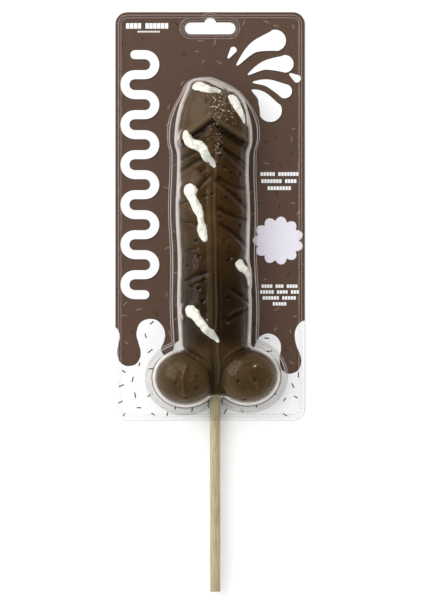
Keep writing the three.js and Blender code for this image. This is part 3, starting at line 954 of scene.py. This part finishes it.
def makeSprinkles():
    settings = sprinkleSettings
    draw = random.Random(settings["seed"])
    groups = {name: [] for name in sprinkleInks}
    tries = 0
    while sum(len(g) for g in groups.values()) < settings["count"] and tries < settings["tries"]:
        tries += 1
        x = draw.uniform(-56, 56)
        y = draw.uniform(-71, 178)
        turn = draw.uniform(0, math.pi)
        length = draw.uniform(1.6, 3.2)
        dark = draw.random() < settings["darkShare"]
        spots = [Vector((px, py)) for g in groups.values() for px, py, _, _ in g]
        if any((Vector((x, y)) - s).length < settings["spacing"] for s in spots):
            continue
        white = insideWhite(x, y)
        if float(toCardEdge(x, y)) > -2.5 or float(toSlot(x, y)) < 3:
            continue
        if not white and any(insideWhite(x + a, y + b) for a in (-2, 2) for b in (-2, 2)):
            continue
        if not white and any(left < x < right and low < y < high for left, right, low, high in printedAreas):
            continue
        groups["darkSprinkles" if dark or white else "paleSprinkles"].append((x, y, turn, length))
    pieces = []
    for name, entries in groups.items():
        outlines = []
        for x, y, turn, length in entries:
            away = Vector((math.cos(turn), math.sin(turn))) * length / 2
            ends = [(x - away.x, y - away.y), (x + away.x, y + away.y)]
            outlines.append(curveStroke(ends, [settings["width"]] * 2, 2))
        piece = plate(name, outlines, cardSettings["whiteTop"], cardSettings["sprinkleTop"])
        piece.data.materials.append(inkMaterial(name + "Ink", *sprinkleInks[name], 0.45))
        pieces.append(piece)
    report("sprinkles")
    return pieces


# Clear film

filmSettings = {
    "grow": 1.5, "raised": 2.0, "plateauGrow": 4.4, "lineGrow": 5.7, "tipShare": 0.45, "flangeTop": 1.18,
    "plateauTop": 2.85, "thickness": 0.36, "voxel": 0.72, "beadAt": 2.85, "slotBeadAt": 2.0,
    "beadWidth": 0.75, "beadHeight": 0.75, "keptShare": 0.42,
    "channelRadius": 4.2, "channelHeight": 6.6, "overIcing": 1.1,
}


def filmMaterial():
    # thermoformed clear film: hard gloss, clear face on, with a pale sheen where it is seen edge on, and
    # painted highlight lines along its ribs
    material, tree, output, where = newMaterial("formedClearFilm")
    normal = addNode(tree, "ShaderNodeNewGeometry").outputs["Normal"]
    upright = mathNode(tree, "ABSOLUTE", {0: axes(tree, normal)["Z"]})
    _, upwards, height = axes(tree, where)
    edgeOn = addNode(tree, "ShaderNodeLayerWeight", {"Blend": 0.5}).outputs["Facing"]
    # the foot of the wall stays clear, so that the candy's dark side shows through it
    wall = multiply(tree, remap(tree, edgeOn, 0.5, 0.92, 0.0, 0.68), fade(tree, height, 4, 11))
    # the thin ribs are milky all over, a painted highlight that makes them show as pale lines
    sheenAndRibHighlight = greater(tree, wall, attributeNode(tree, "ribHighlight"))
    # round the lobes the foot of the wall, above the plateau, is tinted the candy's dark colour, a painted
    # shadow of the blister on the card
    footShadow = multiply(tree, fade(tree, height, 7, 5), remap(tree, upright, 0.8, 0.5))
    footShadow = multiply(tree, footShadow, fade(tree, height, 2.9, 3.5))
    footShadow = multiply(tree, footShadow, fade(tree, upwards, -30, -42))
    tint = addNode(tree, "ShaderNodeMix", {"A": grey(0.985), "B": colour("#66584b")}, {"Factor": footShadow},
                   data_type="RGBA").outputs["Result"]
    relieved = bumpNode(tree, noiseNode(tree, where, 16.0, 2.0, 0.5), 0.35, 1.2)
    clear = addNode(tree, "ShaderNodeBsdfTransparent", links={"Color": tint}).outputs["BSDF"]
    gloss = addNode(tree, "ShaderNodeBsdfGlossy", {"Color": grey(1.0), "Roughness": 0.06},
                    {"Normal": relieved}).outputs["BSDF"]
    facing = addNode(tree, "ShaderNodeLayerWeight", {"Blend": 0.5}, {"Normal": relieved}).outputs["Facing"]
    mirror = mathNode(tree, "MULTIPLY_ADD", {0: mathNode(tree, "POWER", {0: facing}, {1: 5.0})},
                      {1: 0.4, 2: 0.008})
    shiny = addNode(tree, "ShaderNodeMixShader", links={0: mirror, 1: clear, 2: gloss}).outputs["Shader"]
    milk = addNode(tree, "ShaderNodeBsdfPrincipled",
                   {"Base Color": colour("#efe5de"), "Roughness": 0.2, "IOR": 1.5}).outputs["BSDF"]
    film = addNode(tree, "ShaderNodeMixShader", links={0: sheenAndRibHighlight, 1: shiny, 2: milk})
    tree.links.new(film.outputs["Shader"], output.inputs["Surface"])
    return material


def plateauOutline(grow):
    # the candy's outline from above, grown sideways: down the left side, round the lobes and up the right
    along = candyLength * np.linspace(0, 1, 160) ** 1.8
    near = grow * mix(filmSettings["tipShare"], 1, smoothStep(6, 34, along))
    reach = halfWidth(along) + near * np.sqrt(np.minimum(1, (along + 0.3) / 6))
    stretched = along * (1 + 2 * grow / candyLength) - near
    chains = []
    for side, dome in ((-1, domes[0]), (1, domes[1])):
        wide, long = dome["halfWidth"] + grow, dome["halfLength"] + grow
        x = centreOffset(along) + side * reach
        beside = np.hypot((x - dome["across"]) / wide, (stretched - dome["at"]) / long) > 1
        beside &= along < dome["at"]
        turns = np.radians(np.linspace(-90, 180, 110))
        lobeX = dome["across"] + side * wide * np.cos(turns)
        lobeY = dome["at"] + long * np.sin(turns)
        clear = np.abs(lobeX - centreOffset(lobeY)) > halfWidth(lobeY) + grow
        clear |= lobeY > dome["at"]
        clear &= lobeX * side > 0
        chain = list(zip(x[beside], stretched[beside])) + list(zip(lobeX[clear], lobeY[clear]))
        chains.append([(float(pack["axisX"] + a), float(pack["tipY"] - b)) for a, b in chain])
    return chains[0] + chains[1][::-1]


def rib(outline, radius, height, sheenAndRibHighlight):
    # a thin raised line in the film, round in section
    made = curveMesh("rib", [outline], height, dimensions="3D", bevel_depth=radius * mm, bevel_resolution=2)
    # each rib keeps the strength of its painted highlight, which the film material reads
    keepValues(made, "ribHighlight", np.full(len(made.data.vertices), sheenAndRibHighlight))
    return made


def stickChannel(low, high):
    # an arch over the stick, with straight sides down to the card
    radius, height = filmSettings["channelRadius"], filmSettings["channelHeight"]
    tube = rodAlongCard(radius, low, high, height, 48)
    spots = places(tube)
    below = spots[:, 2] < height - 0.05
    spots[below, 0] = pack["axisX"] + np.sign(spots[below, 0] - pack["axisX"]) * radius
    spots[below, 2] = -3
    setPlaces(tube, spots)
    return tube


def clearIcing(film):
    # the film stands off where an icing drip lies under it
    spots = places(film)
    across, along = fromAxisAndTip(spots)
    push = np.zeros(len(spots))
    for blobAcross, blobAlong, radius in (blob for route in drips for blob in route):
        away = np.hypot(across - blobAcross, along - blobAlong)
        nearness = 1 - smoothStep(radius, 1.5 * radius + 2.0, away)
        push = np.maximum(push, filmSettings["overIcing"] * nearness)
    push *= smoothStep(5, 9, spots[:, 2])
    setPlaces(film, spots + vertexNormals(film) * push[:, None])


def makeFilm():
    settings = filmSettings
    base = -3.0
    parts = [shaftTube("filmShaft", settings["grow"], settings["raised"], base, 120, 260)]
    parts += [roundDome(dome, settings["grow"], settings["raised"], base) for dome in domes]
    parts.append(plate("plateau", [plateauOutline(settings["plateauGrow"])], base, settings["plateauTop"]))
    # the flange starts larger than the card and is trimmed to it below
    wide = pack["cardWidth"] / 2 + 6
    low, high = pack["cardBottom"] - 6, pack["cardTop"] + 6
    rectangle = [(-wide, low), (wide, low), (wide, high), (-wide, high)]
    parts.append(plate("flange", [rectangle], base, settings["flangeTop"]))
    parts.append(stickChannel(low, pack["tipY"] - domes[1]["at"]))
    film = joinAll("clearFilm", parts)
    applyModifier(film, "REMESH", mode="VOXEL", voxel_size=settings["voxel"] * mm)
    applyModifier(film, "SMOOTH", factor=0.5, iterations=5)
    addRelief(film, 0.3, 7)
    clearIcing(film)
    # stiffening beads along the card's edge and round the slot
    spots = places(film)
    flat = spots[:, 2] < settings["flangeTop"] + 0.4
    toEdge = -toCardEdge(spots[:, 0], spots[:, 1]) - settings["beadAt"]
    slotAway = toSlot(spots[:, 0], spots[:, 1]) - settings["slotBeadAt"]
    rise = np.maximum(bump(toEdge, settings["beadWidth"]), bump(slotAway, settings["beadWidth"]))
    rise *= settings["beadHeight"]
    spots[:, 2] += np.where(flat & (spots[:, 2] > 0), rise, 0)
    setPlaces(film, spots)
    # only the top sheet stays
    sheet = bmesh.new()
    sheet.from_mesh(film.data)
    sheet.normal_update()
    lowest = pack["cardTopFace"] * mm
    under = [f for f in sheet.faces if f.calc_center_median().z < lowest or f.normal.z < -0.2]
    bmesh.ops.delete(sheet, geom=under, context="FACES")
    sheet.to_mesh(film.data)
    sheet.free()
    applyModifier(film, "DECIMATE", ratio=settings["keptShare"])
    applyModifier(film, "SOLIDIFY", thickness=settings["thickness"] * mm, offset=-1)
    cut(film, plate("trimTool", [cardOutline(0.15)], -5, 60), "INTERSECT")
    cut(film, plate("slotTool", [slotOutline(0.4)], -5, 10), "DIFFERENCE")
    flange = settings["flangeTop"]
    # the plateau lines, the card's edge lines and the slot's lines, each with the strength of its painted
    # highlight
    ribs = [rib(plateauOutline(settings["plateauGrow"]), 0.34, settings["plateauTop"] - 0.1, 0.4)]
    ribs.append(rib(plateauOutline(settings["lineGrow"]), 0.28, flange + 0.1, 0.26))
    ribs += [rib(cardOutline(inset), 0.22, flange + 0.05, 0.14) for inset in (2.0, 3.6)]
    ribs += [rib(slotOutline(away), 0.22, flange + 0.05, 0.12) for away in (1.2, 2.8)]
    film = joinAll("clearFilm", [film] + ribs)
    shadeSmooth(film)
    film.data.materials.clear()
    film.data.materials.append(filmMaterial())
    report(f"film, {len(film.data.polygons)} faces")
    return film


# Stick

stickSettings = {"radius": 3.2, "low": -180.15, "high": -13.0, "height": 6.6, "bevel": 0.35}


def birchMaterial():
    # turned birch dowel: pale straw colour, long fine grain and darker flecks
    material, tree, output, where = newMaterial("birchDowel")
    drawn = addNode(tree, "ShaderNodeMapping", {"Scale": (1.0, 0.045, 1.0)}, {"Vector": where})
    long = drawn.outputs["Vector"]
    streak = noiseNode(tree, long, 0.7, 5.0, 0.65)
    shade = ramp(tree, streak, [(0.3, colour("#8f8160")), (0.5, colour("#a79a79")),
                                (0.72, colour("#bdb293"))])
    fleck = noiseNode(tree, long, 0.35, 2.0, 0.5)
    dark = ramp(tree, fleck, [(0.3, grey(0.72)), (0.4, grey(1.0)), (1.0, grey(1.0))])
    body = addNode(tree, "ShaderNodeMix", {"Factor": 1.0}, {"A": shade, "B": dark}, data_type="RGBA",
                   blend_type="MULTIPLY").outputs["Result"]
    coverWith(tree, output, {"Roughness": 0.55, "IOR": 1.5},
              {"Base Color": body, "Normal": bumpNode(tree, streak, 0.25, 0.1)})
    return material


def makeStick():
    settings = stickSettings
    rod = rodAlongCard(settings["radius"], settings["low"], settings["high"], settings["height"], 64)
    stick = joinAll("woodenStick", [rod])
    applyModifier(stick, "BEVEL", width=settings["bevel"] * mm, segments=3, angle_limit=math.radians(60),
                  limit_method="ANGLE")
    pick(stick)
    bpy.ops.object.shade_smooth_by_angle(angle=math.radians(40))
    stick.data.materials.append(birchMaterial())
    report("stick")
    return stick


# Floor, lights and camera

def makeStage():
    tidySelection()
    bpy.ops.mesh.primitive_plane_add(size=6, location=(0, 0, -0.0002))
    floor = bpy.context.object
    floor.name = "paleFloor"
    material, tree, output, _ = newMaterial("paleStudioFloor")
    coverWith(tree, output, {"Base Color": grey(0.93), "Roughness": 0.9}, {})
    floor.data.materials.append(material)


lightSettings = [
    # name, place, size, power, all in metres and watts
    ("leftSoftbox", (-1.1, 0.9, 1.5), 2.2, 22.0),
    ("rightSpot", (0.55, 0.78, 1.9), 0.14, 1.6),
]
tentSettings = {
    "lowStrength": 1.5, "overheadShare": 0.36, "darkFrom": 0.4, "darkTo": 0.95, "mirroredShare": 0.28,
    "mirroredOverhead": 0.05, "sideShare": 0.22, "mirroredSide": 0.7,
}


def makeLights():
    # a light tent that is bright all round and dark overhead, where the camera looks through, and two lamps
    for name, place, size, power in lightSettings:
        data = bpy.data.lights.new(name, "AREA")
        data.shape = "DISK"
        data.size = size
        data.energy = power
        lamp = bpy.data.objects.new(name, data)
        lamp.location = place
        lamp.rotation_mode = "QUATERNION"
        lamp.rotation_quaternion = (Vector((0, 0.05, 0)) - Vector(place)).to_track_quat("-Z", "Y")
        bpy.context.collection.objects.link(lamp)
    world = bpy.data.worlds.new("lightTent")
    world.use_nodes = True
    tree = world.node_tree
    way = axes(tree, addNode(tree, "ShaderNodeTexCoord").outputs["Generated"])

    def tentGlow(strength, overheadShare, sideShare):
        glow = remap(tree, way["Z"], tentSettings["darkFrom"], tentSettings["darkTo"], strength,
                     strength * overheadShare)
        side = mathNode(tree, "MULTIPLY_ADD", {0: way["X"]}, {1: -sideShare, 2: 1.0})
        return multiply(tree, glow, side)

    matt = tentGlow(tentSettings["lowStrength"], tentSettings["overheadShare"], tentSettings["sideShare"])
    mirrored = tentGlow(tentSettings["lowStrength"] * tentSettings["mirroredShare"],
                        tentSettings["mirroredOverhead"], tentSettings["mirroredSide"])
    rays = addNode(tree, "ShaderNodeLightPath")
    strength = addNode(tree, "ShaderNodeMix",
                       links={"Factor": rays.outputs["Is Glossy Ray"], "A": matt, "B": mirrored})
    tree.links.new(strength.outputs["Result"], tree.nodes["Background"].inputs["Strength"])
    tree.nodes["Background"].inputs["Color"].default_value = grey(1.0)
    bpy.context.scene.world = world


def makeCamera():
    # straight down, the stick towards the bottom of the picture, which spans this height in metres
    pictureHeight = 0.3735
    data = bpy.data.cameras.new("camera")
    data.lens = 300
    data.sensor_width = 36
    data.clip_end = 20
    camera = bpy.data.objects.new("camera", data)
    camera.location = (0.0009, 0.0010, pictureHeight * data.lens / data.sensor_width)
    bpy.context.collection.objects.link(camera)
    bpy.context.scene.camera = camera
    bpy.context.scene.view_settings.view_transform = "Standard"


makeStage()
makeLights()
makeCamera()
board, brown = makeCard()
white = makeWhitePrint()
badge = makeBadge()
printShadow = makePrintShadow()
sprinkles = makeSprinkles()
candy = makeCandy()
icing = makeIcing()
film = makeFilm()
stick = makeStick()

for piece, slotName in [(board, "print_white"), (brown, "card"), (white, "print_white"), (candy, "candy"),
                        (icing, "icing"), (film, "film"), (stick, "stick"), (sprinkles[0], "print_white"),
                        (sprinkles[1], "card"), (badge, "print_white"), (printShadow, "card")]:
    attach(piece, "root")
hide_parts("card")
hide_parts("card")
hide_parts("candy")
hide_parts("candy")
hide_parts("film")
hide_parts("stick")
